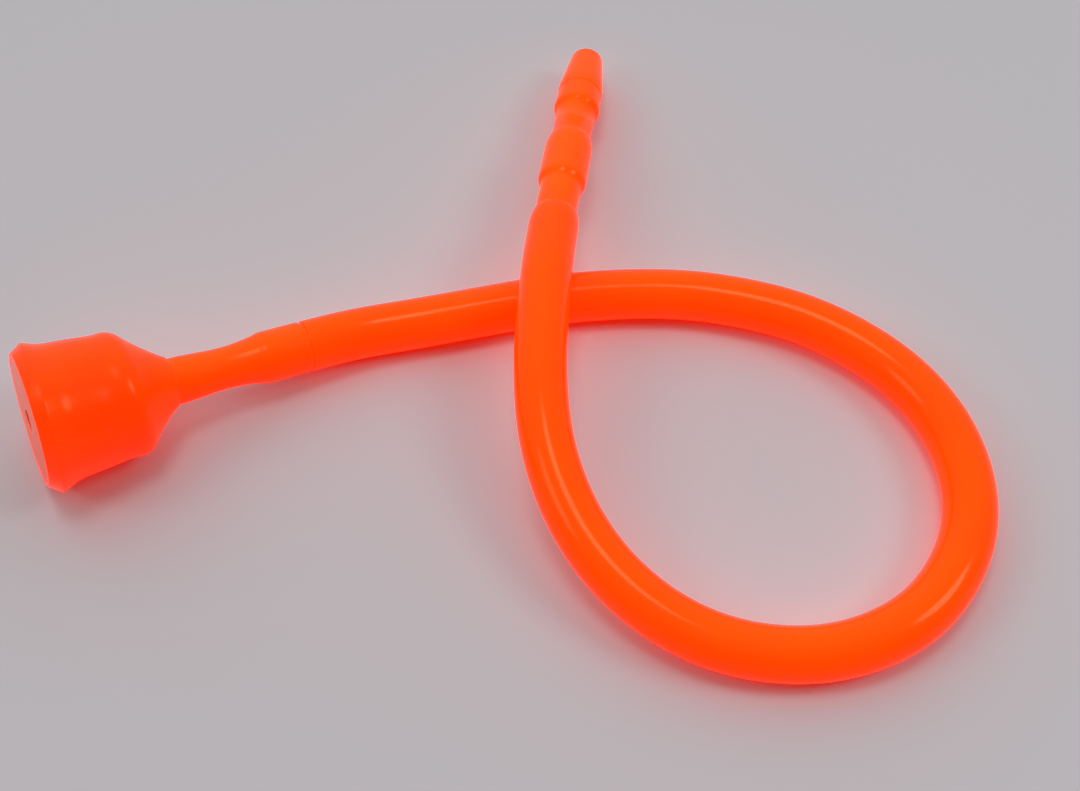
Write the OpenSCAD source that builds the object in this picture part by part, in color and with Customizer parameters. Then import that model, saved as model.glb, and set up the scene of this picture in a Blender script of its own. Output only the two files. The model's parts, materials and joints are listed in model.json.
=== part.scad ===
// Siphon bulb pump.
// A soft bulb with a flat base pumps liquid from a port in the base, through two
// ball check valves, into a hose that lies in one loop and ends in a barbed nozzle.
// The bulb lies on its rim and its shoulder, so its axis slopes down towards the neck.
// Lengths are in millimetres. The table is the plane Z = 0, and X follows the bulb.

/* [Bulb] */
// Largest diameter, at the rim round the flat base
rim_d = 34.5; // [33:0.5:38]
// Distance from the mouth, which the base disc closes, to the rim, all round
lip_reach = 3.5; // [2.75:0.25:4]
// Width of the flat edge between the mouth and the bevel
lip_edge = 1.75; // [1.25:0.25:2]
// Length of the bevel from that edge to the rim
bevel_len = 2.6; // [2:0.1:3.2]
// Distance from the flat base to the shoulder
body_len = 22; // [20:0.5:26]
// Diameter at the shoulder
shoulder_d = 28.7; // [27:0.1:31]
// How far the side draws in between the rim and the shoulder
waist_depth = 1.2; // [0.8:0.1:1.8]
// Length of the cone from the shoulder to the neck
cone_len = 9.5; // [9:0.5:13]
// How far the cone's side is dished
cone_dish = 0.5; // [0.3:0.1:0.8]
// Thickness of the soft wall
wall = 2.2; // [1.8:0.1:2.6]
// Length of the lip that holds the base disc in
lip_len = 2.4; // [2:0.1:3]

/* [Neck] */
// Diameter of the neck where it leaves the cone
neck_root_d = 10.8; // [10:0.1:12]
// Height of the small step between the cone and the neck
root_step = 0.5; // [0.3:0.1:0.8]
// Smallest diameter of the neck
neck_slim_d = 9.6; // [9:0.1:10]
// Length from the root to the smallest diameter
slim_len = 12.5; // [11:0.5:16]
// Length of the rise to the collar
rise_len = 10.4; // [8:0.2:12]
// Diameter of the collar that grips the hose connector
collar_d = 12; // [11.6:0.2:13]
// Length of the collar
collar_len = 8; // [6:0.5:9]

/* [Base disc] */
// Thickness of the flange behind the lip
flange_len = 2.2; // [1.6:0.2:2.6]
// How far the flange reaches past the mouth, all round
flange_reach = 1.2; // [0.8:0.1:1.4]
// Diameter of the inlet port in the middle of the base
inlet_d = 5; // [4:0.2:6]
// Depth of the inlet port, down to the valve
inlet_len = 4; // [3.4:0.2:4.6]

/* [Check valves] */
// Outer diameter of each valve seat
valve_d = 9; // [8.6:0.2:9.8]
// Diameter of each valve's ball
ball_d = 5; // [4.6:0.1:5.2]
// Diameter of the port under the ball
port_d = 3; // [2.4:0.1:3.2]
// Length of the port under the ball
port_len = 1.5; // [1.2:0.1:2]
// How far a ball lifts off its seat
ball_lift = 1.2; // [0.8:0.1:1.4]
// Room round the ball in its chamber
ball_room = 0.6; // [0.4:0.1:0.7]
// Thickness of the ball's cage
cage_len = 1.5; // [1:0.1:2]
// Width of each spoke of the cage
spoke_w = 1; // [0.8:0.1:1.4]
// Number of spokes of the cage
spokes = 3; // [3:1:5]

/* [Hose] */
// Outer diameter of the hose
hose_d = 12; // [11.5:0.1:12.5]
// Bore of the hose, and of the collar
hose_bore = 8; // [7.4:0.1:8.4]
// Length of the rounded end at the nozzle
hose_round = 5; // [3:0.5:7]

/* [Connector] */
// Diameter of the flange that shows between the neck and the hose
joint_d = 11.3; // [10.6:0.1:11.8]
// Thickness of that flange
joint_len = 1.2; // [0.8:0.1:1.6]
// Length of the connector inside the neck
neck_plug_len = 11; // [9:0.5:13]
// Length of a barbed plug inside the hose
hose_plug_len = 12; // [10:0.5:16]
// How far a barb bites into the soft wall round it
barb_bite = 0.4; // [0.2:0.1:0.6]
// Bore of the connector, the neck and the nozzle
liquid_d = 5; // [4.2:0.2:5.4]

/* [Nozzle] */
// Diameter of the nozzle's first neck, against the hose
nozzle_neck1_d = 10; // [9.4:0.1:11]
// Length of the first neck
nozzle_neck1_len = 7.5; // [6:0.5:10]
// Diameter of the barb next to the hose
nozzle_barb1_d = 12.1; // [11.6:0.1:12.6]
// Length of its straight side
nozzle_barb1_len = 11; // [9:0.5:14]
// Length of its round shoulder
nozzle_shoulder_len = 7; // [4:0.5:8]
// Diameter of the second neck
nozzle_neck2_d = 9.9; // [9:0.1:10.6]
// Length of the second neck
nozzle_neck2_len = 12.5; // [9:0.5:15]
// Diameter of the second barb at its heel
nozzle_barb2_d = 11.8; // [11.2:0.1:12.4]
// Diameter of the second barb where the nose begins
nozzle_barb2_front_d = 10.6; // [10.2:0.1:11]
// Length of the second barb
nozzle_barb2_len = 8; // [6:0.5:10]
// Diameter of the nose where it begins, just over the second barb's front
nozzle_nose_d = 11.2; // [11:0.1:11.6]
// Length of the nose's taper
nozzle_taper_len = 10.5; // [8:0.5:14]
// Diameter where the round tip begins
nozzle_tip_d = 9.6; // [9:0.1:10.2]
// Length of the round tip
nozzle_tip_len = 4; // [3:0.5:5]
// Rounding of each barb's heel
heel_round = 0.9; // [0.4:0.1:1.2]

/* [Hidden] */
$fn = 96;
// Clearance all round a pressed-in piece
fit = 0.05;
// How far a cutting shape runs past the face that it opens
cut = 1;
// Wall left between the outlet valve's pocket and the neck's root
pocket_wall = 1.7;
// Wall round a valve's pocket
boss_wall = 2;
// How far the inside of the bulb reaches past the shoulder
cavity_deep = 3.5;
// Width of the rim that holds a cage in its seat
cage_ledge = 0.5;
// Diameter of a cage's hub
hub_d = 2.4;
// Steps in a curve that is drawn by a formula
steps = 10;
// Steps in a barb's rounded heel
heel_steps = 3;

rim_r = rim_d / 2;
mouth_r = rim_r - lip_reach;
shoulder_r = shoulder_d / 2;
neck_root_r = neck_root_d / 2;
neck_slim_r = neck_slim_d / 2;
collar_r = collar_d / 2;
hose_r = hose_d / 2;
plug_r = hose_bore / 2;
liquid_r = liquid_d / 2;
valve_r = valve_d / 2;
ball_r = ball_d / 2;
port_r = port_d / 2;
chamber_r = ball_r + ball_room;
flange_r = mouth_r + flange_reach;

// Places along the bulb's axis, measured from the flat base
root_at = body_len + cone_len;
slim_at = root_at + slim_len;
collar_at = slim_at + rise_len;
neck_end = collar_at + collar_len;
hose_start = neck_end + joint_len;
plug_end = hose_start + hose_plug_len;
socket_at = neck_end - neck_plug_len;
flange_end = lip_len + flange_len;

// A ball rests in a seat cone of 45 degrees, whose point lies port_r below the port's end
ball_at = port_len - port_r + ball_r * sqrt(2);
cage_at = ball_at + ball_r + ball_lift + fit;
valve_len = cage_at + cage_len;
inlet_valve_at = inlet_len;
outlet_valve_at = root_at - pocket_wall - valve_len;

// The bulb rests on its rim and its shoulder
tilt = atan((rim_r - shoulder_r) / (body_len - bevel_len));
base_z = rim_r * cos(tilt) + bevel_len * sin(tilt);
axis = [cos(tilt), 0, -sin(tilt)];
nose_r = plug_r - barb_bite;
x_low = -(mouth_r + lip_edge) * sin(tilt);
x_high = plug_end * cos(tilt) + nose_r * sin(tilt);
x_mid = (x_low + x_high) / 2;

// Places the children at a distance from the base, with Z along the bulb's axis
module along_axis(distance) {
    translate([-x_mid, 0, base_z])
        rotate([0, 90 + tilt, 0])
            translate([0, 0, distance])
                children();
}

// An arc that dishes the line from a to b inwards, given as its radius and its centre
function arc_radius(a, b, depth) = (norm(b - a) ^ 2 / 4 + depth ^ 2) / (2 * depth);
function arc_normal(a, b) = [b.y - a.y, a.x - b.x] / norm(b - a);
function arc_centre(a, b, depth) = (a + b) / 2 + arc_normal(a, b) * (arc_radius(a, b, depth) - depth);

// The disc whose edge is that arc, made larger by grow
module dish(a, b, depth, grow) {
    translate(arc_centre(a, b, depth))
        circle(r = arc_radius(a, b, depth) + grow, $fn = 240);
}

// A smooth change from one radius to another, as points
function ease(from_r, to_r, start, len) =
    [for (i = [0 : steps]) [from_r + (to_r - from_r) * (1 - cos(180 * i / steps)) / 2, start + len * i / steps]];

// A change that starts flat and ends in a corner, as points
function flare(from_r, to_r, start, len) =
    [for (i = [0 : steps]) [from_r + (to_r - from_r) * (1 - cos(90 * i / steps)), start + len * i / steps]];

// A rounded heel that rises to radius r, as points
function heel(r, start, size) =
    [for (i = [0 : heel_steps]) [r - size * (1 - sin(90 * i / heel_steps)),
        start + size * (1 - cos(90 * i / heel_steps))]];

// A round shoulder, as points
function shoulder(from_r, to_r, start, len) =
    [for (i = [0 : steps]) [to_r + (from_r - to_r) * cos(90 * i / steps), start + len * sin(90 * i / steps)]];

rim_corner = [rim_r, bevel_len];
shoulder_corner = [shoulder_r, body_len];
cone_corner = [neck_root_r + root_step, root_at];

// Outline of the bulb and its neck, radius against distance from the base
module bulb_outline() {
    difference() {
        polygon([[0, 0], [mouth_r + lip_edge, 0], rim_corner, shoulder_corner, cone_corner, [0, root_at]]);
        dish(rim_corner, shoulder_corner, waist_depth, 0);
        dish(shoulder_corner, cone_corner, cone_dish, 0);
    }
    polygon(concat(
        [[0, root_at - cone_len / 2]],
        [[neck_root_r, root_at - cone_len / 2]],
        ease(neck_root_r, neck_slim_r, root_at, slim_len),
        flare(neck_slim_r, collar_r, slim_at, rise_len),
        [[collar_r, neck_end], [0, neck_end]]));
}

// The space inside the bulb, its mouth, the outlet valve's pocket and the neck's bore
module bulb_hollow() {
    boss_r = valve_r + boss_wall;
    difference() {
        polygon([[0, flange_end], [rim_r, flange_end], [rim_r, body_len / 2],
            [shoulder_r - wall, body_len - wall / 2], [boss_r, body_len + cavity_deep],
            [boss_r, outlet_valve_at], [0, outlet_valve_at]]);
        dish(rim_corner, shoulder_corner, waist_depth, wall);
    }
    translate([0, -cut])
        square([mouth_r, lip_len + flange_len + cut]);
    translate([0, lip_len])
        square([flange_r, flange_len]);
    translate([0, outlet_valve_at - fit])
        square([valve_r, valve_len + fit]);
    translate([0, outlet_valve_at])
        square([liquid_r, neck_end - outlet_valve_at]);
    translate([0, socket_at])
        square([plug_r, neck_plug_len + cut]);
}

// Soft squeeze bulb, with its neck and collar in one moulding
module bulb() {
    color("orangered")
        along_axis(0)
            rotate_extrude()
                difference() {
                    bulb_outline();
                    bulb_hollow();
                }
}

// Flat disc that closes the mouth, with the inlet port and the inlet valve's pocket
module base_disc() {
    boss_r = valve_r + boss_wall;
    boss_end = inlet_valve_at + valve_len;
    color("tomato")
        along_axis(0)
            rotate_extrude()
                polygon([[inlet_d / 2, 0], [mouth_r - fit, 0], [mouth_r - fit, lip_len + fit],
                    [flange_r - fit, lip_len + fit], [flange_r - fit, flange_end - fit],
                    [boss_r, flange_end - fit], [boss_r, boss_end], [valve_r, boss_end],
                    [valve_r, inlet_valve_at], [inlet_d / 2, inlet_valve_at]]);
}

// Seat of a check valve: port, seat cone, chamber and ledge for the cage
module valve_seat() {
    rotate_extrude()
        polygon([[port_r, 0], [valve_r - fit, 0], [valve_r - fit, valve_len], [chamber_r + cage_ledge, valve_len],
            [chamber_r + cage_ledge, cage_at], [chamber_r, cage_at],
            [chamber_r, port_len + chamber_r - port_r], [port_r, port_len]]);
}

// Ball of a check valve, resting on its seat cone
module valve_ball() {
    translate([0, 0, ball_at])
        sphere(r = ball_r);
}

// Cage that stops the ball and lets the liquid past, pressed into the seat
module ball_cage() {
    cage_r = chamber_r + cage_ledge - fit;
    translate([0, 0, cage_at]) {
        difference() {
            cylinder(r = cage_r, h = cage_len);
            translate([0, 0, -cut])
                cylinder(r = chamber_r - cage_ledge, h = cage_len + 2 * cut);
        }
        cylinder(d = hub_d, h = cage_len);
        for (i = [0 : spokes - 1])
            rotate([0, 0, i * 360 / spokes])
                translate([0, -spoke_w / 2, 0])
                    cube([chamber_r, spoke_w, cage_len]);
    }
}

module inlet_valve_seat() {
    color("whitesmoke")
        along_axis(inlet_valve_at)
            valve_seat();
}

module inlet_ball() {
    color("silver")
        along_axis(inlet_valve_at)
            valve_ball();
}

module inlet_ball_cage() {
    color("whitesmoke")
        along_axis(inlet_valve_at)
            ball_cage();
}

module outlet_valve_seat() {
    color("whitesmoke")
        along_axis(outlet_valve_at)
            valve_seat();
}

module outlet_ball() {
    color("silver")
        along_axis(outlet_valve_at)
            valve_ball();
}

module outlet_ball_cage() {
    color("whitesmoke")
        along_axis(outlet_valve_at)
            ball_cage();
}

// Outline of a barbed plug, from its face at 0 to its nose, as points
barbs = 2;
function plug_outline(len) = concat(
    [[plug_r, 0]],
    [for (i = [0 : barbs - 1]) each [
        [plug_r, len * (i + 0.4) / barbs],
        [plug_r + barb_bite, len * (i + 0.4) / barbs],
        [nose_r, len * (i + 1) / barbs]]],
    [[liquid_r, len]]);

// Rigid connector that joins the neck to the hose, with barbs at both ends
module hose_connector() {
    neck_side = [for (p = plug_outline(neck_plug_len)) [p.x, neck_end - p.y]];
    hose_side = [for (p = plug_outline(hose_plug_len)) [p.x, hose_start + p.y]];
    back = [for (i = [len(neck_side) - 1 : -1 : 0]) neck_side[i]];
    color("orangered")
        along_axis(0)
            rotate_extrude()
                polygon(concat(back, [[joint_d / 2, neck_end], [joint_d / 2, hose_start]], hose_side));
}

// Route of the hose: X and Y from the hose's start, and the height over its rest on
// the table in hose diameters. It lies flat round the loop and passes over itself.
route = [
    [26, -3.5, 0], [43.5, -7, 0], [60.5, -11, 0], [75.5, -16.5, 0], [88, -22.5, 0],
    [98.5, -30, 0], [108, -38.5, 0], [115, -48, 0], [120.5, -59, 0], [123.5, -70.5, 0],
    [123.5, -82.5, 0], [120.5, -94, 0], [114.5, -104.5, 0], [105.5, -112.5, 0], [94.5, -118, 0],
    [83, -119.5, 0], [71, -118, 0], [60, -113, 0], [50.5, -106, 0.05], [43, -96.5, 0.13],
    [38, -85.5, 0.25], [35.5, -74, 0.4], [35.5, -62, 0.58], [37.5, -50.5, 0.77], [41.5, -39.5, 0.94],
    [46.5, -29, 1.05], [51.5, -20, 1.08], [56.5, -11, 1.08], [62.5, -1.5, 0.93], [69, 8.5, 0.785]];
// Length of the straight stretch out of the neck, in hose diameters
lead_out = 1;
// Share of the neck's height over the table that is left at the first point past it
settle = 0.05;
sides = 12;

start = [hose_start * axis.x - x_mid, 0, base_z + hose_start * axis.z];
first = start + axis * lead_out * hose_d;
sunk = start.z - hose_r;
path = concat([start, first],
    [for (i = [0 : len(route) - 1])
        [start.x + route[i].x, route[i].y, hose_r + route[i].z * hose_d + (i == 0 ? settle * sunk : 0)]]);
last = len(path) - 1;

function unit(v) = v / norm(v);
end_way = unit(path[last] - path[last - 1]);
function way(i) = i < 2 ? axis : i == last ? end_way : unit(path[i + 1] - path[i - 1]);

// Stations of the tube: the path's points, then the rounded end
round_steps = 3;
stations = concat(
    [for (i = [0 : last - 1]) [path[i], way(i), hose_r]],
    [for (i = [0 : round_steps])
        let (turn = 90 * i / round_steps * 0.75)
        [path[last] - end_way * hose_round * (1 - sin(turn) / sin(67.5)), end_way,
            hose_r - (hose_r - nozzle_neck1_d / 2) * (1 - cos(turn)) / (1 - cos(67.5))]]);

// One ring of points round a station
function ring(station, r) =
    let (side = unit(cross(station[1], [0, 0, 1])), up = cross(side, station[1]))
    [for (k = [0 : sides - 1]) station[0] + r * (cos(360 * k / sides) * side + sin(360 * k / sides) * up)];

// Least distance from the hump to the lower run, on points along both
low_run = [for (i = [2 : 6], f = [0 : 0.1 : 1]) path[i] + f * (path[i + 1] - path[i])];
high_run = [for (i = [last - 7 : last - 1], f = [0 : 0.1 : 1]) path[i] + f * (path[i + 1] - path[i])];
least_gap = min([for (p = low_run, q = high_run) norm(p - q)]) - hose_d;

// The hose: one tube with its bore, swept along the path
module hose() {
    outer = [for (s = stations) each ring(s, s[2])];
    inner = [for (s = stations) each ring(s, plug_r)];
    count = len(stations);
    inside = len(outer);
    faces = [
        for (i = [0 : count - 2], k = [0 : sides - 1])
            let (a = i * sides + k, b = i * sides + (k + 1) % sides, c = a + sides, d = b + sides)
            each [[a, b, d], [a, d, c], [inside + a, inside + d, inside + b], [inside + a, inside + c, inside + d]],
        for (k = [0 : sides - 1])
            let (a = k, b = (k + 1) % sides, e = (count - 1) * sides)
            each [[a, inside + a, inside + b], [a, inside + b, b],
                [e + a, e + b, inside + e + b], [e + a, inside + e + b, inside + e + a]]];
    echo(least_gap_of_the_hose_to_itself = least_gap);
    color("orangered")
        polyhedron(concat(outer, inner), faces, convexity = 10);
}

// Barbed nozzle in the hose's far end: plug, two necks, two barbs and a round nose
module nozzle() {
    barb1_at = nozzle_neck1_len;
    shoulder_at = barb1_at + nozzle_barb1_len;
    neck2_at = shoulder_at + nozzle_shoulder_len;
    barb2_at = neck2_at + nozzle_neck2_len;
    nose_at = barb2_at + nozzle_barb2_len;
    tip_at = nose_at + nozzle_taper_len;
    plug = plug_outline(hose_plug_len);
    back = [for (i = [len(plug) - 1 : -1 : 0]) [plug[i].x, -plug[i].y]];
    color("orangered")
        translate(path[last])
            rotate([0, acos(end_way.z), atan2(end_way.y, end_way.x)])
                rotate_extrude()
                    polygon(concat(back,
                        [[nozzle_neck1_d / 2, 0], [nozzle_neck1_d / 2, barb1_at]],
                        heel(nozzle_barb1_d / 2, barb1_at, heel_round),
                        shoulder(nozzle_barb1_d / 2, nozzle_neck2_d / 2, shoulder_at, nozzle_shoulder_len),
                        [[nozzle_neck2_d / 2, barb2_at]],
                        heel(nozzle_barb2_d / 2, barb2_at, heel_round),
                        [[nozzle_barb2_front_d / 2, nose_at]],
                        [[nozzle_nose_d / 2, nose_at]],
                        shoulder(nozzle_tip_d / 2, liquid_r, tip_at, nozzle_tip_len)));
}

bulb();
base_disc();
inlet_valve_seat();
inlet_ball();
inlet_ball_cage();
outlet_valve_seat();
outlet_ball();
outlet_ball_cage();
hose_connector();
hose();
nozzle();
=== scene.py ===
import json
import math

import bmesh
import bpy
import numpy as np
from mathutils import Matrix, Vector


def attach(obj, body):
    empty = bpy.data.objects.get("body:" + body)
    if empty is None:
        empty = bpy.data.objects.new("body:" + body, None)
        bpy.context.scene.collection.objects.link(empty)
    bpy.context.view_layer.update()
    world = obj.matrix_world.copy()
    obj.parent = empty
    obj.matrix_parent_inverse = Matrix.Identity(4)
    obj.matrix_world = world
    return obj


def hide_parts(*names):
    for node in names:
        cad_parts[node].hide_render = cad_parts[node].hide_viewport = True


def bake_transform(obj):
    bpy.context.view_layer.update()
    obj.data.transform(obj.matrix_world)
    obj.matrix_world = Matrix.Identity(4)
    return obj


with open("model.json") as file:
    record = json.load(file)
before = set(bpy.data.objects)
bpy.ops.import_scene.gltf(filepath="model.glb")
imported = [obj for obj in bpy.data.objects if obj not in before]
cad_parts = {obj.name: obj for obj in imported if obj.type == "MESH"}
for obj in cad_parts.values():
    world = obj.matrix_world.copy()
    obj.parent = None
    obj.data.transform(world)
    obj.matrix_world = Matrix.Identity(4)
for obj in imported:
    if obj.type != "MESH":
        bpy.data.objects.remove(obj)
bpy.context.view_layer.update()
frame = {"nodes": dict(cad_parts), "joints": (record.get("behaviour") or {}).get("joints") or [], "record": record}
joints = {j["name"]: j for j in frame["joints"]}
mounts = {m["name"]: m for m in frame["record"]["mounts"]}
mm = 0.001  # the pieces' sizes below are in millimetres

camera = {
    "place": (-0.01128, -0.20847, 0.291),  # metres
    "turn": (34.0, 0.0, -25.097),  # degrees: looks down at 56, turned a little to the right
    "lens": 50.0,
    "filmWidth": 36.0,
    "nearest": 0.01,
    "farthest": 20.0,
}


def makeCamera(c):
    data = bpy.data.cameras.new("camera")
    data.lens = c["lens"]
    data.sensor_width = c["filmWidth"]
    data.sensor_fit = "HORIZONTAL"
    data.clip_start = c["nearest"]
    data.clip_end = c["farthest"]
    obj = bpy.data.objects.new("camera", data)
    obj.location = c["place"]
    obj.rotation_euler = [math.radians(a) for a in c["turn"]]
    bpy.context.scene.collection.objects.link(obj)
    bpy.context.scene.camera = obj


makeCamera(camera)
print("camera placed")

# a soft tube in one loop that passes over itself
hose = {
    "radius": 6.0,
    "bore": 4.0,
    "sides": 48,
    "stepsPerSpan": 9,
    "weld": 0.0001,  # the end rings that its two walls share are joined within this reach
    "startRound": 0.35,  # rounded edge at the connector
    "startSteps": 6,
    "startEarly": 0.25,  # the tube's end is pushed this far onto the connector's flange
    "boreEdge": 0.15,  # width of the narrow ring round the bore at the start
    "startFace": (0.0005, 0.002),  # the flat end's rings stand this far along, so that none share a place
    "endRound": 5.6,  # long rounded end at the nozzle
    "endSteps": 12,
    "endRadius": 5.0,
    "endEdge": 0.5,  # width of the ring inside the rounded end
    "endFace": (0.01, 0.003),  # and its rings stand this far back
    "endShort": 3.8,  # the tube stops this far before the nozzle's first datum
    "clear": (0.6, 0.4),  # left free of rings beside the two rounded ends
    "leadOut": 12.0,  # goes straight on from the bulb as far as this
    "settle": 0.05,  # share of the connector's height that the first place of the route keeps
    "start": (26.396, 0.0, 8.042),
    # X and Y from the hose's start, and the height over its rest on the table in hose diameters
    "route": [
        (26, -3.5, 0), (43.5, -7, 0), (60.5, -11, 0), (75.5, -16.5, 0), (88, -22.5, 0),
        (98.5, -30, 0), (108, -38.5, 0), (115, -48, 0), (120.5, -59, 0), (123.5, -70.5, 0),
        (123.5, -82.5, 0), (120.5, -94, 0), (114.5, -104.5, 0), (105.5, -112.5, 0), (94.5, -118, 0),
        (83, -119.5, 0), (71, -118, 0), (60, -113, 0), (50.5, -106, 0.05), (43, -96.5, 0.13),
        (38, -85.5, 0.25), (35.5, -74, 0.4), (35.5, -62, 0.58), (37.5, -50.5, 0.77), (41.5, -39.5, 0.94),
        (46.5, -29, 1.05), (51.5, -20, 1.08), (56.5, -11, 1.08), (62.3, -1.37, 0.93), (68.7, 8.69, 0.785),
    ],
}

bulbWay = Vector(joints["bulb_press"]["axis"]).normalized()
faceMiddle = Vector(mounts["base_face"]["pos_m"])
faceMiddle.y = 0.0  # the datum lies beside the port, the middle on the bulb's axis
nozzleWay = Vector(mounts["nozzle_barbs"]["axis"]).normalized()
nozzleTip = Vector(mounts["nozzle_barbs"]["pos_m"])


def onBulb(along):
    return faceMiddle + bulbWay * along * mm


def controlPoints(h):
    start = Vector(h["start"])
    lead = start + bulbWay * h["leadOut"]
    points = [start, lead]
    for i, (x, y, lift) in enumerate(h["route"]):
        z = h["radius"] * (1 + 2 * lift)
        if i == 0:
            z += h["settle"] * (start.z - h["radius"])
        points.append(Vector((start.x + x, start.y + y, z)))
    return points


def softLine(points, stepsPerSpan):
    # a smooth line that runs by its points, drawn in at the bends as a real hose is
    pts = [2 * points[0] - points[1]] + points + [2 * points[-1] - points[-2]]
    line = []
    for i in range(1, len(pts) - 2):
        a, b, c, d = pts[i - 1], pts[i], pts[i + 1], pts[i + 2]
        for k in range(stepsPerSpan):
            u = k / stepsPerSpan
            line.append(((1 - u) ** 3 * a + (3 * u ** 3 - 6 * u * u + 4) * b
                         + (3 * u * (1 + u - u * u) + 1) * c + u ** 3 * d) / 6)
    line.append(points[-1].copy())
    return line


def lineLength(points):
    return sum((b - a).length for a, b in zip(points, points[1:]))


def pointAt(points, distance):
    # the place on the line at a distance from its start
    left = distance
    for a, b in zip(points, points[1:]):
        step = (b - a).length
        if left <= step:
            return a.lerp(b, left / step)
        left -= step
    return points[-1].copy()


def hoseStations(h):
    # ring centres and radii along the hose, its two rounded ends included
    line = softLine(controlPoints(h), h["stepsPerSpan"])
    line.insert(0, line[0] - bulbWay * h["startEarly"])
    total = lineLength(line) - h["endShort"]
    corner = h["startRound"]
    boreRing, edgeRing = h["startFace"]
    stations = [(0.0, h["bore"]), (boreRing, h["bore"] + h["boreEdge"]), (edgeRing, h["radius"] - corner)]
    for k in range(1, h["startSteps"] + 1):
        turn = math.radians(90 * k / h["startSteps"])
        along = corner * (1 - math.cos(turn)) + edgeRing
        stations.append((along, h["radius"] - corner * (1 - math.sin(turn))))
    first = corner + h["clear"][0]
    last = total - h["endRound"] - h["clear"][1]
    stations += [(float(s), h["radius"]) for s in np.linspace(first, last, len(line))]
    drop = h["radius"] - h["endRadius"]
    roundBack, faceBack = h["endFace"]
    for k in range(h["endSteps"] + 1):
        turn = math.radians(90 * k / h["endSteps"])
        along = total - h["endRound"] * (1 - math.sin(turn)) - roundBack
        stations.append((along, h["endRadius"] + drop * math.cos(turn)))
    stations.append((total - faceBack, h["endRadius"] - h["endEdge"]))
    stations.append((total, h["bore"]))
    return [(pointAt(line, s), r) for s, r in stations], total


def newSocket(tree, name, inOut, kind, value=None):
    socket = tree.interface.new_socket(name=name, in_out=inOut, socket_type=kind)
    if value is not None:
        socket.default_value = value
    return socket


def tubeTree():
    # a wall with a bore, swept along a line whose points carry the outer radius
    tree = bpy.data.node_groups.new("hoseWall", "GeometryNodeTree")
    newSocket(tree, "Line", "INPUT", "NodeSocketGeometry")
    newSocket(tree, "Sides", "INPUT", "NodeSocketInt", 48)
    newSocket(tree, "Bore radius", "INPUT", "NodeSocketFloat", 0.004)
    newSocket(tree, "Weld reach", "INPUT", "NodeSocketFloat", 1e-7)
    newSocket(tree, "Material", "INPUT", "NodeSocketMaterial")
    newSocket(tree, "Tube", "OUTPUT", "NodeSocketGeometry")
    node, link = tree.nodes.new, tree.links.new
    given, made = node("NodeGroupInput"), node("NodeGroupOutput")
    ring, radius = node("GeometryNodeCurvePrimitiveCircle"), node("GeometryNodeInputRadius")
    outer, inner = node("GeometryNodeCurveToMesh"), node("GeometryNodeCurveToMesh")
    flip, join = node("GeometryNodeFlipFaces"), node("GeometryNodeJoinGeometry")
    weld, smooth = node("GeometryNodeMergeByDistance"), node("GeometryNodeSetShadeSmooth")
    real, paint = node("GeometryNodeRealizeInstances"), node("GeometryNodeSetMaterial")
    ring.inputs["Radius"].default_value = 1.0
    link(given.outputs["Sides"], ring.inputs["Resolution"])
    for sweep in (outer, inner):
        link(given.outputs["Line"], sweep.inputs["Curve"])
        link(ring.outputs["Curve"], sweep.inputs["Profile Curve"])
    link(radius.outputs["Radius"], outer.inputs["Scale"])
    link(given.outputs["Bore radius"], inner.inputs["Scale"])
    link(inner.outputs["Mesh"], flip.inputs["Mesh"])
    link(outer.outputs["Mesh"], join.inputs["Geometry"])
    link(flip.outputs["Mesh"], join.inputs["Geometry"])
    link(join.outputs["Geometry"], weld.inputs["Geometry"])
    link(given.outputs["Weld reach"], weld.inputs["Distance"])
    link(weld.outputs["Geometry"], smooth.inputs["Geometry"])
    link(smooth.outputs["Geometry"], real.inputs["Geometry"])
    link(real.outputs["Geometry"], paint.inputs["Geometry"])
    link(given.outputs["Material"], paint.inputs["Material"])
    link(paint.outputs["Geometry"], made.inputs["Tube"])
    return tree


def addMesh(name, data):
    obj = bpy.data.objects.new(name, data)
    bpy.context.scene.collection.objects.link(obj)
    return obj


def makeTube(name, stations, h, material):
    curve = bpy.data.curves.new(name + "Line", "CURVE")
    curve.dimensions = "3D"
    spline = curve.splines.new("POLY")
    spline.points.add(len(stations) - 1)
    for point, (place, radius) in zip(spline.points, stations):
        point.co = (*(place * mm), 1)
        point.radius = radius * mm
    guide = addMesh(name + "Line", curve)
    tree = tubeTree()
    modifier = guide.modifiers.new("wall", "NODES")
    modifier.node_group = tree
    sockets = {s.name: s.identifier for s in tree.interface.items_tree if s.in_out == "INPUT"}
    modifier[sockets["Sides"]] = h["sides"]
    modifier[sockets["Bore radius"]] = h["bore"] * mm
    modifier[sockets["Weld reach"]] = h["weld"] * mm
    modifier[sockets["Material"]] = material
    bpy.context.view_layer.update()
    held = guide.evaluated_get(bpy.context.evaluated_depsgraph_get())
    mesh = bpy.data.meshes.new_from_object(held)
    bpy.data.objects.remove(guide)
    mesh.name = name
    return addMesh(name, mesh)


skinPattern = {
    "patchDetail": 3,
    "grainDetail": 2,
    "toneSpread": (0.35, 0.65),  # the part of the slow noise that goes from one tone to the other
    "sheenSpread": (0.3, 0.7),
}


def rangeNode(tree, low, high):
    node = tree.nodes.new("ShaderNodeMapRange")
    node.inputs["From Min"].default_value = low
    node.inputs["From Max"].default_value = high
    return node


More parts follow.
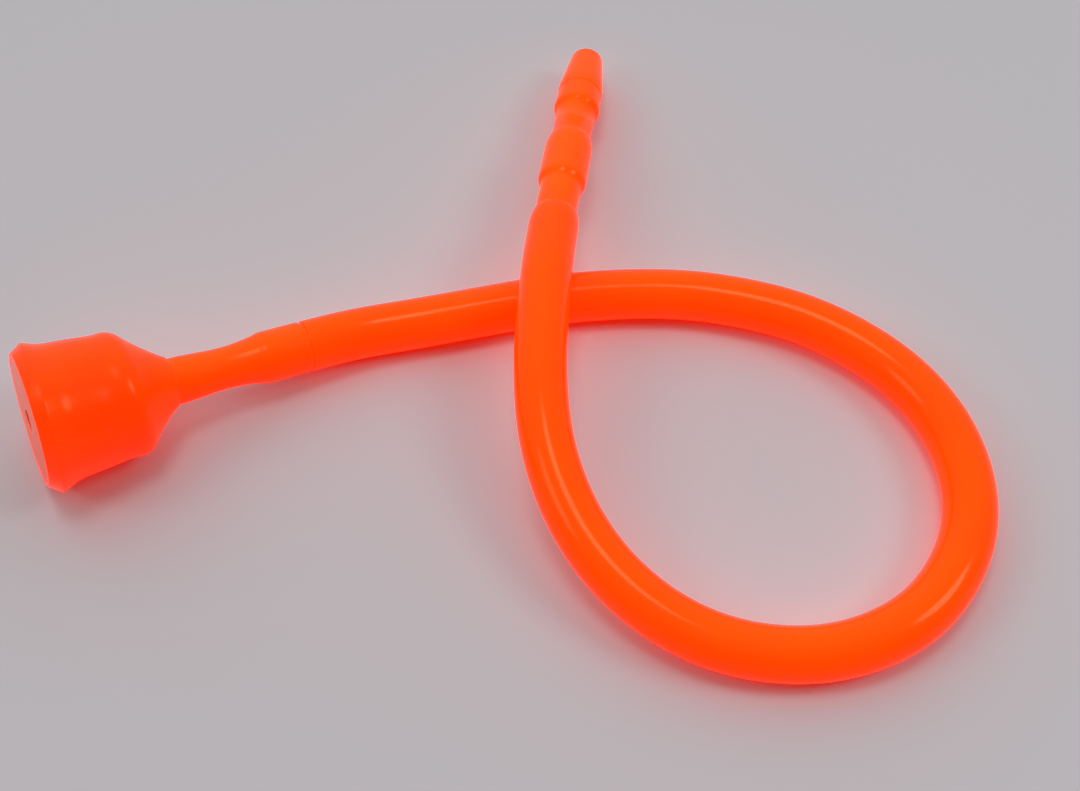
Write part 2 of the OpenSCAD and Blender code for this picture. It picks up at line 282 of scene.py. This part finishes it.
def skinGroup(s):
    # moulded or drawn vinyl: slow changes of tone, fine grain, uneven sheen
    tree = bpy.data.node_groups.new("vinylSkin", "ShaderNodeTree")
    newSocket(tree, "Tone", "INPUT", "NodeSocketColor", (1, 0.1, 0.01, 1))
    newSocket(tree, "Deep tone", "INPUT", "NodeSocketColor", (0.9, 0.06, 0.005, 1))
    newSocket(tree, "Patches", "INPUT", "NodeSocketFloat", 60.0)
    newSocket(tree, "Grain", "INPUT", "NodeSocketFloat", 1500.0)
    newSocket(tree, "Sheen low", "INPUT", "NodeSocketFloat", 0.2)
    newSocket(tree, "Sheen high", "INPUT", "NodeSocketFloat", 0.3)
    newSocket(tree, "Color", "OUTPUT", "NodeSocketColor")
    newSocket(tree, "Roughness", "OUTPUT", "NodeSocketFloat")
    newSocket(tree, "Height", "OUTPUT", "NodeSocketFloat")
    node, link = tree.nodes.new, tree.links.new
    given, made = node("NodeGroupInput"), node("NodeGroupOutput")
    place = node("ShaderNodeTexCoord")
    slow, fine = node("ShaderNodeTexNoise"), node("ShaderNodeTexNoise")
    slow.inputs["Detail"].default_value = s["patchDetail"]
    fine.inputs["Detail"].default_value = s["grainDetail"]
    for noise, size in ((slow, "Patches"), (fine, "Grain")):
        link(place.outputs["Object"], noise.inputs["Vector"])
        link(given.outputs[size], noise.inputs["Scale"])
    spread = rangeNode(tree, *s["toneSpread"])
    link(slow.outputs["Fac"], spread.inputs["Value"])
    tone = node("ShaderNodeMix")
    tone.data_type = "RGBA"  # it takes its colours at 6 and 7 and gives the mixed one at 2
    link(spread.outputs["Result"], tone.inputs["Factor"])
    link(given.outputs["Tone"], tone.inputs[6])
    link(given.outputs["Deep tone"], tone.inputs[7])
    sheen = rangeNode(tree, *s["sheenSpread"])
    link(slow.outputs["Fac"], sheen.inputs["Value"])
    link(given.outputs["Sheen low"], sheen.inputs["To Min"])
    link(given.outputs["Sheen high"], sheen.inputs["To Max"])
    link(tone.outputs[2], made.inputs["Color"])
    link(sheen.outputs["Result"], made.inputs["Roughness"])
    link(fine.outputs["Fac"], made.inputs["Height"])
    return tree


skin = skinGroup(skinPattern)


def skinMaterial(name, m):
    material = bpy.data.materials.new(name)
    material.use_nodes = True
    tree = material.node_tree
    node, link = tree.nodes.new, tree.links.new
    shader = tree.nodes["Principled BSDF"]
    group = node("ShaderNodeGroup")
    group.node_tree = skin
    for socket, value in m["skin"].items():
        group.inputs[socket].default_value = value
    bump = node("ShaderNodeBump")
    bump.inputs["Strength"].default_value = m["bump"]
    bump.inputs["Distance"].default_value = m["bumpDepth"] * mm
    color = group.outputs["Color"]
    if "paler" in m:
        place, split = node("ShaderNodeTexCoord"), node("ShaderNodeSeparateXYZ")
        share = rangeNode(tree, *m["paler"]["between"])
        fade = node("ShaderNodeMix")
        fade.data_type = "RGBA"
        fade.inputs[7].default_value = m["paler"]["tone"]
        link(place.outputs["Object"], split.inputs["Vector"])
        link(split.outputs["X"], share.inputs["Value"])
        link(share.outputs["Result"], fade.inputs["Factor"])
        link(color, fade.inputs[6])
        color = fade.outputs[2]
    link(color, shader.inputs["Base Color"])
    link(group.outputs["Roughness"], shader.inputs["Roughness"])
    link(group.outputs["Height"], bump.inputs["Height"])
    link(bump.outputs["Normal"], shader.inputs["Normal"])
    for socket, value in m["shader"].items():
        shader.inputs[socket].default_value = value
    return material


def paintedGlowVinyl(strength):
    # fluorescent orange with a warm gloss; its red emission is partly the pigment's real fluorescence and partly
    # painted glow, strong enough to keep shaded sides red and to throw red light onto the floor
    return {
        "IOR": 1.28,
        "Specular Tint": (1.0, 0.88, 0.38, 1),
        "Emission Color": (1.0, 0.018, 0.0, 1),
        "Emission Strength": strength,
    }


# the hose, bulb, fitting and disc finishes below carry painted red glow through their emission strength
finishes = {
    "hoseVinyl": {
        "skin": {
            "Tone": (1.0, 0.069, 0.0, 1), "Deep tone": (1.0, 0.059, 0.0, 1),
            "Patches": 35.0, "Grain": 900.0, "Sheen low": 0.12, "Sheen high": 0.16,
        },
        "bump": 0.05, "bumpDepth": 0.05,
        "shader": paintedGlowVinyl(1.2),
    },
    "bulbVinyl": {
        "skin": {
            "Tone": (1.0, 0.055, 0.0, 1), "Deep tone": (1.0, 0.042, 0.0, 1),
            "Patches": 90.0, "Grain": 1800.0, "Sheen low": 0.2, "Sheen high": 0.26,
        },
        "bump": 0.12, "bumpDepth": 0.06,
        # the thin neck is paler than the body, which changes between these X in metres
        "paler": {"between": (-0.014, 0.0), "tone": (1.0, 0.073, 0.0, 1)},
        "shader": paintedGlowVinyl(0.95),
    },
    "fittingPlastic": {
        "skin": {
            "Tone": (1.0, 0.083, 0.0, 1), "Deep tone": (1.0, 0.072, 0.0, 1),
            "Patches": 120.0, "Grain": 2200.0, "Sheen low": 0.16, "Sheen high": 0.22,
        },
        "bump": 0.08, "bumpDepth": 0.04,
        "shader": paintedGlowVinyl(1.2),
    },
    "discPlastic": {
        "skin": {
            "Tone": (0.92, 0.12, 0.01, 1), "Deep tone": (0.9, 0.1, 0.008, 1),
            "Patches": 80.0, "Grain": 2000.0, "Sheen low": 0.2, "Sheen high": 0.26,
        },
        "bump": 0.08, "bumpDepth": 0.04,
        "shader": paintedGlowVinyl(0.22),
    },
    "valvePlastic": {
        "skin": {
            "Tone": (0.82, 0.81, 0.77, 1), "Deep tone": (0.72, 0.71, 0.66, 1),
            "Patches": 400.0, "Grain": 3000.0, "Sheen low": 0.35, "Sheen high": 0.45,
        },
        "bump": 0.06, "bumpDepth": 0.03,
        "shader": {"IOR": 1.49},
    },
    "ballSteel": {
        "skin": {
            "Tone": (0.78, 0.78, 0.79, 1), "Deep tone": (0.7, 0.7, 0.72, 1),
            "Patches": 500.0, "Grain": 4000.0, "Sheen low": 0.12, "Sheen high": 0.2,
        },
        "bump": 0.03, "bumpDepth": 0.01,
        "shader": {"Metallic": 1.0},
    },
}
materials = {name: skinMaterial(name, finish) for name, finish in finishes.items()}
print("materials made")

hoseRings, hoseLength = hoseStations(hose)
hosePiece = makeTube("hoseTube", hoseRings, hose, materials["hoseVinyl"])
print("hose made, %.1f mm long" % hoseLength)


def rounded(corners):
    # a closed outline of (along, radius, rounding) corners, each rounded by an arc
    toRound, toPlain = 0.49, 0.95  # share of the way that a round takes towards the next corner
    fewestSteps, degreesPerStep = 3, 12
    outline = []
    count = len(corners)
    for i, (s, r, size) in enumerate(corners):
        here = Vector((s, r))
        if size <= 0:
            outline.append(here)
            continue
        beside = corners[i - 1], corners[(i + 1) % count]
        ways = [Vector(corner[:2]) - here for corner in beside]
        angle = ways[0].angle(ways[1])
        room = [way.length * (toRound if corner[2] > 0 else toPlain) for way, corner in zip(ways, beside)]
        reach = min(size / math.tan(angle / 2), *room)
        a, b = [here + way.normalized() * reach for way in ways]
        steps = max(fewestSteps, int(math.degrees(math.pi - angle) / degreesPerStep))
        for k in range(steps + 1):
            u = k / steps
            outline.append((1 - u) ** 2 * a + 2 * u * (1 - u) * here + u * u * b)
    return outline


def bowed(a, b, depth, steps, clear):
    # points from a to b on a line drawn in by depth in its middle, both ends left clear for a round
    start, end = Vector(a), Vector(b)
    length = (end - start).length
    across = Vector((end.y - start.y, start.x - end.x)).normalized()
    if across.y > 0:
        across = -across
    shares = [k / steps for k in range(1, steps)]
    return [(*(start.lerp(end, u) + across * depth * 4 * u * (1 - u)), 0)
            for u in shares if u * length > clear[0] and (1 - u) * length > clear[1]]


def quarter(s0, r0, s1, r1, steps):
    # a quarter of an ellipse that falls away from the first point and is steep at the second
    turns = [math.radians(90 * k / steps) for k in range(1, steps)]
    return [(s0 + (s1 - s0) * math.sin(a), r1 + (r0 - r1) * math.cos(a), 0) for a in turns]


def softStep(knots, steps):
    # a smooth outline through places with set slopes
    points = []
    for (s0, r0, m0), (s1, r1, m1) in zip(knots, knots[1:]):
        reach = s1 - s0
        for k in range(steps):
            u = k / steps
            rise = u * u * (3 - 2 * u)
            r = r0 + (r1 - r0) * rise + reach * (m0 * u * (1 - u) ** 2 - m1 * u * u * (1 - u))
            points.append((s0 + reach * u, r, 0))
    return points + [(knots[-1][0], knots[-1][1], 0)]


def revolve(name, outline, origin, way, sides, material):
    mesh = bpy.data.meshes.new(name)
    turn = Vector((0, 0, 1)).rotation_difference(way)
    rings = len(outline)
    angles = np.linspace(0, 2 * np.pi, sides, endpoint=False)
    across, up = turn @ Vector((1, 0, 0)), turn @ Vector((0, 1, 0))
    points = [origin + (way * p[0] + (across * math.cos(a) + up * math.sin(a)) * p[1]) * mm
              for p in outline for a in angles]
    faces = [(j * sides + i, j * sides + (i + 1) % sides,
              ((j + 1) % rings) * sides + (i + 1) % sides, ((j + 1) % rings) * sides + i)
             for j in range(rings) for i in range(sides)]
    mesh.from_pydata(points, [], faces)
    shape = bmesh.new()
    shape.from_mesh(mesh)
    bmesh.ops.recalc_face_normals(shape, faces=shape.faces)
    for face in shape.faces:
        face.smooth = True
    shape.to_mesh(mesh)
    shape.free()
    mesh.materials.append(material)
    return addMesh(name, mesh)


# places are measured along the axis from the flat end
bulb = {
    "sides": 192,
    "mouth": 13.75, "mouthRound": 0.2, "edge": 1.4, "edgeRound": 0.35,
    "rim": 17.25, "bevel": 2.6, "rimRound": 0.35,
    # the drawn-in side from rim to shoulder: place, radius and slope
    "side": [
        (2.6, 17.25, -0.38), (5.4, 16.13, -0.43), (6.8, 15.63, -0.28), (8.4, 15.28, -0.15),
        (11.0, 14.93, -0.12), (15.5, 14.3, -0.17), (18.5, 13.98, -0.02), (22.25, 14.15, 0.08),
    ],
    "sideSteps": 10, "sideClear": (0.5, 3.0),
    "body": 22.25, "shoulder": 14.15, "shoulderRound": 5.0,
    "coneDish": 0.5, "coneSteps": 24, "coneClear": (3.0, 0.9),
    "root": 31.5, "rootRadius": 5.4, "rootStep": 0.5, "rootFall": 0.4, "rootRound": 0.9,
    "slim": 44.0, "slimRadius": 4.8, "slimSteps": 24,
    # the neck widens again and steps up to its collar: place, radius and slope
    "flare": [(44.0, 4.8, 0), (47.5, 4.99, 0.115), (50.8, 5.45, 0.165), (52.2, 5.74, 0.32), (53.7, 6.0, 0)],
    "flareSteps": 8, "collarRadius": 6.0, "neckEnd": 62.65, "collarRound": 0.3,
    # inside: the connector's socket, the outlet valve's pocket in its boss, the chamber, the disc's groove
    "socket": 51.4, "socketRadius": 4.0, "socketRound": 0.2, "bore": 2.5,
    "pocket": 4.5, "pocketStart": 21.01, "pocketEnd": 29.8,
    "boss": 6.5, "bossRound": 0.3, "bossFoot": 0.8, "cavityEnd": 25.5,
    "wall": 2.2, "wallClear": 1.0, "lip": 2.4, "groove": 14.95, "grooveEnd": 4.6,
    # the soft moulding leans a little at its shoulder, more the further it is from the boss
    "leanWay": (0.0802, 0.8403, 0.5362), "lean": 0.072, "shift": 0.24, "swell": 0.033,
    "leanPast": 2.0, "leanFromBoss": (0.1, 2.0),
    # and its rim is drawn in on the same side
    "rimDrop": 0.6, "rimDropEnd": 14.0, "rimDropRadii": (14.5, 16.5), "rimDropSide": 0.7,
    # and its flat end is turned a little towards this side
    "faceWay": (0.119, -0.597, 0.793), "faceTurn": 0.03, "faceTurnEnd": 12.0,
}


def bulbOutline(b):
    shoulder = (b["body"], b["shoulder"])
    side = softStep(b["side"], b["sideSteps"])
    cone = (b["root"], b["rootRadius"] + b["rootStep"])
    nearRim, nearShoulder = b["sideClear"]
    corners = [
        (0, b["mouth"], b["mouthRound"]),
        (0, b["mouth"] + b["edge"], b["edgeRound"]),
        (b["bevel"], b["rim"], b["rimRound"]),
    ]
    corners += [point for point in side if b["bevel"] + nearRim < point[0] < b["body"] - nearShoulder]
    corners += [(*shoulder, b["shoulderRound"])]
    corners += bowed(shoulder, cone, b["coneDish"], b["coneSteps"], b["coneClear"])
    corners += [(*cone, b["rootRound"]), (b["root"] + b["rootFall"], b["rootRadius"], b["rootRound"])]
    for k in range(2, b["slimSteps"]):
        u = k / b["slimSteps"]
        along = b["root"] + b["rootFall"] + (b["slim"] - b["root"] - b["rootFall"]) * u
        narrowing = (b["slimRadius"] - b["rootRadius"]) * (1 - math.cos(math.pi * u)) / 2
        corners.append((along, b["rootRadius"] + narrowing, 0))
    corners += softStep(b["flare"], b["flareSteps"])
    corners += [
        (b["neckEnd"], b["collarRadius"], b["collarRound"]),
        (b["neckEnd"], b["socketRadius"], b["socketRound"]),
        (b["socket"], b["socketRadius"], 0),
        (b["socket"], b["bore"], 0),
        (b["pocketEnd"], b["bore"], 0),
        (b["pocketEnd"], b["pocket"], 0),
        (b["pocketStart"], b["pocket"], 0),
        (b["pocketStart"], b["boss"], b["bossRound"]),
        (b["cavityEnd"], b["boss"], b["bossFoot"]),
    ]
    first, last = b["grooveEnd"] + b["wallClear"], b["body"] - b["wallClear"]
    inner = [(s, r - b["wall"], 0) for s, r, _ in side if first < s < last]
    corners += inner[::-1]
    corners += [
        (b["grooveEnd"], inner[0][1], 0),
        (b["grooveEnd"], b["groove"], 0),
        (b["lip"], b["groove"], 0),
        (b["lip"], b["mouth"], 0),
    ]
    return rounded(corners)


def eased(value, low, high):
    u = min(max((value - low) / (high - low), 0.0), 1.0)
    return u * u * (3 - 2 * u)


def leanBulb(piece, b):
    # bends the outer wall between rim and neck, and leaves the lip and the valve pocket as they are
    up = Vector(b["leanWay"]).normalized()
    closest = 0.1  # keeps the share finite on the axis
    fromBoss = [b["boss"] + distance for distance in b["leanFromBoss"]]
    for vertex in piece.data.vertices:
        place = (vertex.co - onBulb(0)) / mm
        along = place.dot(bulbWay)
        radial = place - bulbWay * along
        height = radial.dot(up)
        share = eased(along, b["bevel"], b["body"])
        share *= 1 - eased(along, b["body"], b["root"] + b["leanPast"])
        share *= eased(radial.length, *fromBoss)
        rimShare = (1 - eased(along, 0, b["rimDropEnd"])) * eased(radial.length, *b["rimDropRadii"])
        rimShare *= eased(height / max(radial.length, closest), 0, b["rimDropSide"])
        move = up * (share * (b["shift"] + b["swell"] * height) - rimShare * b["rimDrop"])
        vertex.co += (move - bulbWay * share * b["lean"] * height) * mm


def turnFace(piece, b):
    # turns the flat end, less and less towards a place on the axis
    near = Vector(b["faceWay"])
    near = (near - bulbWay * near.dot(bulbWay)).normalized()
    for vertex in piece.data.vertices:
        place = vertex.co - onBulb(0)
        share = 1 - eased(place.dot(bulbWay) / mm, b["grooveEnd"], b["faceTurnEnd"])
        vertex.co += bulbWay * b["faceTurn"] * share * place.dot(near)


bulbPiece = revolve("bulbSkin", bulbOutline(bulb), onBulb(0), bulbWay, bulb["sides"], materials["bulbVinyl"])
leanBulb(bulbPiece, bulb)
turnFace(bulbPiece, bulb)
print("bulb made")

disc = {
    "sides": 160,
    "radius": 13.7, "faceRound": 0.3, "lip": 2.45,
    "flange": 14.9, "flangeEnd": 4.55, "flangeRound": 0.1,
    # the inlet port, and the valve's pocket in its boss behind it
    "port": 2.5, "portRound": 0.15, "portDepth": 4.0, "pocket": 4.5, "pocketRound": 0.2,
    "boss": 6.5, "bossEnd": 12.79, "bossRound": 0.3, "bossFoot": 0.4,
}


def discOutline(d):
    return rounded([
        (0, d["port"], d["portRound"]),
        (0, d["radius"], d["faceRound"]),
        (d["lip"], d["radius"], 0),
        (d["lip"], d["flange"], d["flangeRound"]),
        (d["flangeEnd"], d["flange"], d["flangeRound"]),
        (d["flangeEnd"], d["boss"], d["bossFoot"]),
        (d["bossEnd"], d["boss"], d["bossRound"]),
        (d["bossEnd"], d["pocket"], d["pocketRound"]),
        (d["portDepth"], d["pocket"], 0),
        (d["portDepth"], d["port"], 0),
    ])


discPiece = revolve("baseDisc", discOutline(disc), onBulb(0), bulbWay, disc["sides"],
                    materials["discPlastic"])
turnFace(discPiece, bulb)
print("base disc made")

# places are measured along its axis from the end of the hose's own line
nozzle = {
    "sides": 128,
    "length": 60.5,
    "bore": 2.5, "boreRound": 0.25,
    # the plug inside the hose
    "plug": 4.0, "plugBarb": 4.4, "plugBarbStart": 8.4, "plugBarbRound": 0.1,
    "plugNose": 3.6, "plugLength": 12.0, "plugRound": 0.2,
    "start": -3.8, "startRound": 0.2, "neck1": 4.92, "barb1": 5.92, "barb1End": 19.2,
    "shoulderEnd": 24.9, "shoulderSteps": 14, "neck2": 4.87,
    # soft steps from a neck up to a barb: place, radius and slope
    "heel1": [(5.3, 4.92, 0), (7.1, 5.42, 0.62), (9.2, 5.92, 0)],
    "heel2": [(33.6, 4.87, 0), (36.4, 5.5, 0.6), (38.2, 5.86, 0)],
    "noseHeel": [(43.3, 5.59, -0.04), (44.0, 5.66, 0.5), (44.7, 5.73, 0)],
    "heelSteps": 10, "noseSteps": 6,
    "noseFlat": 46.6, "noseRound": 1.2, "tip": 4.15, "tipRound": 1.0, "end": 59.9,
    "aside": (0.4, 0.12),  # it sits this far to the left of its socket's line, at its start and at its tip
}


def nozzleOutline(n):
    corners = [
        (-n["plugLength"], n["bore"], n["plugRound"]),
        (-n["plugLength"], n["plugNose"], n["plugRound"]),
        (-n["plugBarbStart"], n["plugBarb"], n["plugBarbRound"]),
        (-n["plugBarbStart"], n["plug"], 0),
        (n["start"], n["plug"], 0),
        (n["start"], n["neck1"], n["startRound"]),
    ]
    corners += softStep(n["heel1"], n["heelSteps"])
    corners += [(n["barb1End"], n["barb1"], 0)]
    corners += quarter(n["barb1End"], n["barb1"], n["shoulderEnd"], n["neck2"], n["shoulderSteps"])
    corners += [(n["shoulderEnd"], n["neck2"], 0)]
    corners += softStep(n["heel2"], n["heelSteps"])
    corners += softStep(n["noseHeel"], n["noseSteps"])
    corners += [
        (n["noseFlat"], n["noseHeel"][-1][1], n["noseRound"]),
        (n["end"], n["tip"], n["tipRound"]),
        (n["end"], n["bore"], n["boreRound"]),
    ]
    return rounded(corners)


nozzleLeft = Vector((0, 0, 1)).cross(nozzleWay).normalized()
nozzleEnd = nozzleTip + nozzleLeft * nozzle["aside"][1] * mm
nozzleStart = nozzleTip - (nozzleWay * nozzle["length"] - nozzleLeft * nozzle["aside"][0]) * mm
nozzleAim = (nozzleEnd - nozzleStart).normalized()
nozzlePiece = revolve("nozzleBarbed", nozzleOutline(nozzle), nozzleStart, nozzleAim, nozzle["sides"],
                      materials["fittingPlastic"])
print("nozzle made")

# nodes whose shape is used as it is
plainNodes = {
    "hose_connector": "fittingPlastic",
    "inlet_valve_seat": "valvePlastic",
    "inlet_ball_cage": "valvePlastic",
    "outlet_valve_seat": "valvePlastic",
    "outlet_ball_cage": "valvePlastic",
    "inlet_ball": "ballSteel",
    "outlet_ball": "ballSteel",
}
for nodeName, finishName in plainNodes.items():
    nodeMesh = frame["nodes"][nodeName].data
    nodeMesh.materials.clear()
    nodeMesh.materials.append(materials[finishName])
print("connector and valves finished")

light = {
    "middle": (0.035, -0.03, 0.0),
    "lamps": {
        # azimuth clockwise from +Y and height in degrees, distance and width in metres, watts
        "lampLeft": (-75.0, 41.0, 1.2, 0.4, 1.35),
        "lampRight": (118.0, 43.5, 1.2, 0.42, 2.5),
        "lampOver": (5.0, 86.0, 1.2, 0.38, 2.3),
    },
    # the room is dark in front of the table and bright behind and above it
    "roomColor": (1.0, 0.985, 1.0, 1),
    "roomWay": (0.1, 0.75, 0.65),
    "roomDark": 0.0,
    "roomBright": 1.35,
    "backDark": 0.28,
    "backBright": 0.47,
    "floorHalf": 3.0,
    "floorColor": (0.47, 0.458, 0.475, 1),
    "floorRoughness": 0.7,
}


def makeLight(l):
    middle = Vector(l["middle"])
    for name, (azimuth, height, distance, width, watts) in l["lamps"].items():
        data = bpy.data.lights.new(name, "AREA")
        data.shape = "DISK"
        data.size = width
        data.energy = watts
        obj = bpy.data.objects.new(name, data)
        az, el = math.radians(azimuth), math.radians(height)
        way = Vector((math.sin(az) * math.cos(el), math.cos(az) * math.cos(el), math.sin(el)))
        obj.location = middle + way * distance
        obj.rotation_euler = (-way).to_track_quat("-Z", "Y").to_euler()
        bpy.context.scene.collection.objects.link(obj)


def makeRoom(l):
    # what lights the object, and the pale wall that the camera and the gloss see
    world = bpy.data.worlds.new("room")
    bpy.context.scene.world = world
    world.use_nodes = True
    tree = world.node_tree
    node, link = tree.nodes.new, tree.links.new
    back = tree.nodes["Background"]
    back.inputs["Color"].default_value = l["roomColor"]
    place, facing = node("ShaderNodeTexCoord"), node("ShaderNodeVectorMath")
    facing.operation = "DOT_PRODUCT"
    facing.inputs[1].default_value = Vector(l["roomWay"]).normalized()
    link(place.outputs["Generated"], facing.inputs[0])
    levels = []
    for dark, bright in (("roomDark", "roomBright"), ("backDark", "backBright")):
        level = node("ShaderNodeMapRange")
        level.inputs["To Min"].default_value = l[dark]
        level.inputs["To Max"].default_value = l[bright]
        link(facing.outputs["Value"], level.inputs["Value"])
        levels.append(level)
    path = node("ShaderNodeLightPath")
    seen = path.outputs["Is Camera Ray"]
    for kind in ("Is Glossy Ray", "Is Transmission Ray"):
        either = node("ShaderNodeMath")
        either.operation = "MAXIMUM"
        link(seen, either.inputs[0])
        link(path.outputs[kind], either.inputs[1])
        seen = either.outputs["Value"]
    strength = node("ShaderNodeMix")  # it takes its values at 2 and 3 and gives the mixed one at 0
    link(seen, strength.inputs["Factor"])
    link(levels[0].outputs["Result"], strength.inputs[2])
    link(levels[1].outputs["Result"], strength.inputs[3])
    link(strength.outputs[0], back.inputs["Strength"])


def makeFloor(l):
    mesh = bpy.data.meshes.new("floor")
    half = l["floorHalf"]
    corners = [(-half, -half, 0), (half, -half, 0), (half, half, 0), (-half, half, 0)]
    mesh.from_pydata(corners, [], [(0, 1, 2, 3)])
    floor = addMesh("floor", mesh)
    material = bpy.data.materials.new("paleTable")
    material.use_nodes = True
    shader = material.node_tree.nodes["Principled BSDF"]
    shader.inputs["Base Color"].default_value = l["floorColor"]
    shader.inputs["Roughness"].default_value = l["floorRoughness"]
    mesh.materials.append(material)


makeLight(light)
makeRoom(light)
makeFloor(light)
bpy.context.scene.view_settings.view_transform = "Standard"
print("floor and light made")

# what each new piece stands for, and the body that it rides on
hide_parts("bulb")
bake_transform(bulbPiece)
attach(discPiece, "base")
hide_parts("base_disc")
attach(hosePiece, "pump")
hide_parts("hose")
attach(nozzlePiece, "pump")
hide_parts("nozzle")
print("pieces ride on their bodies")
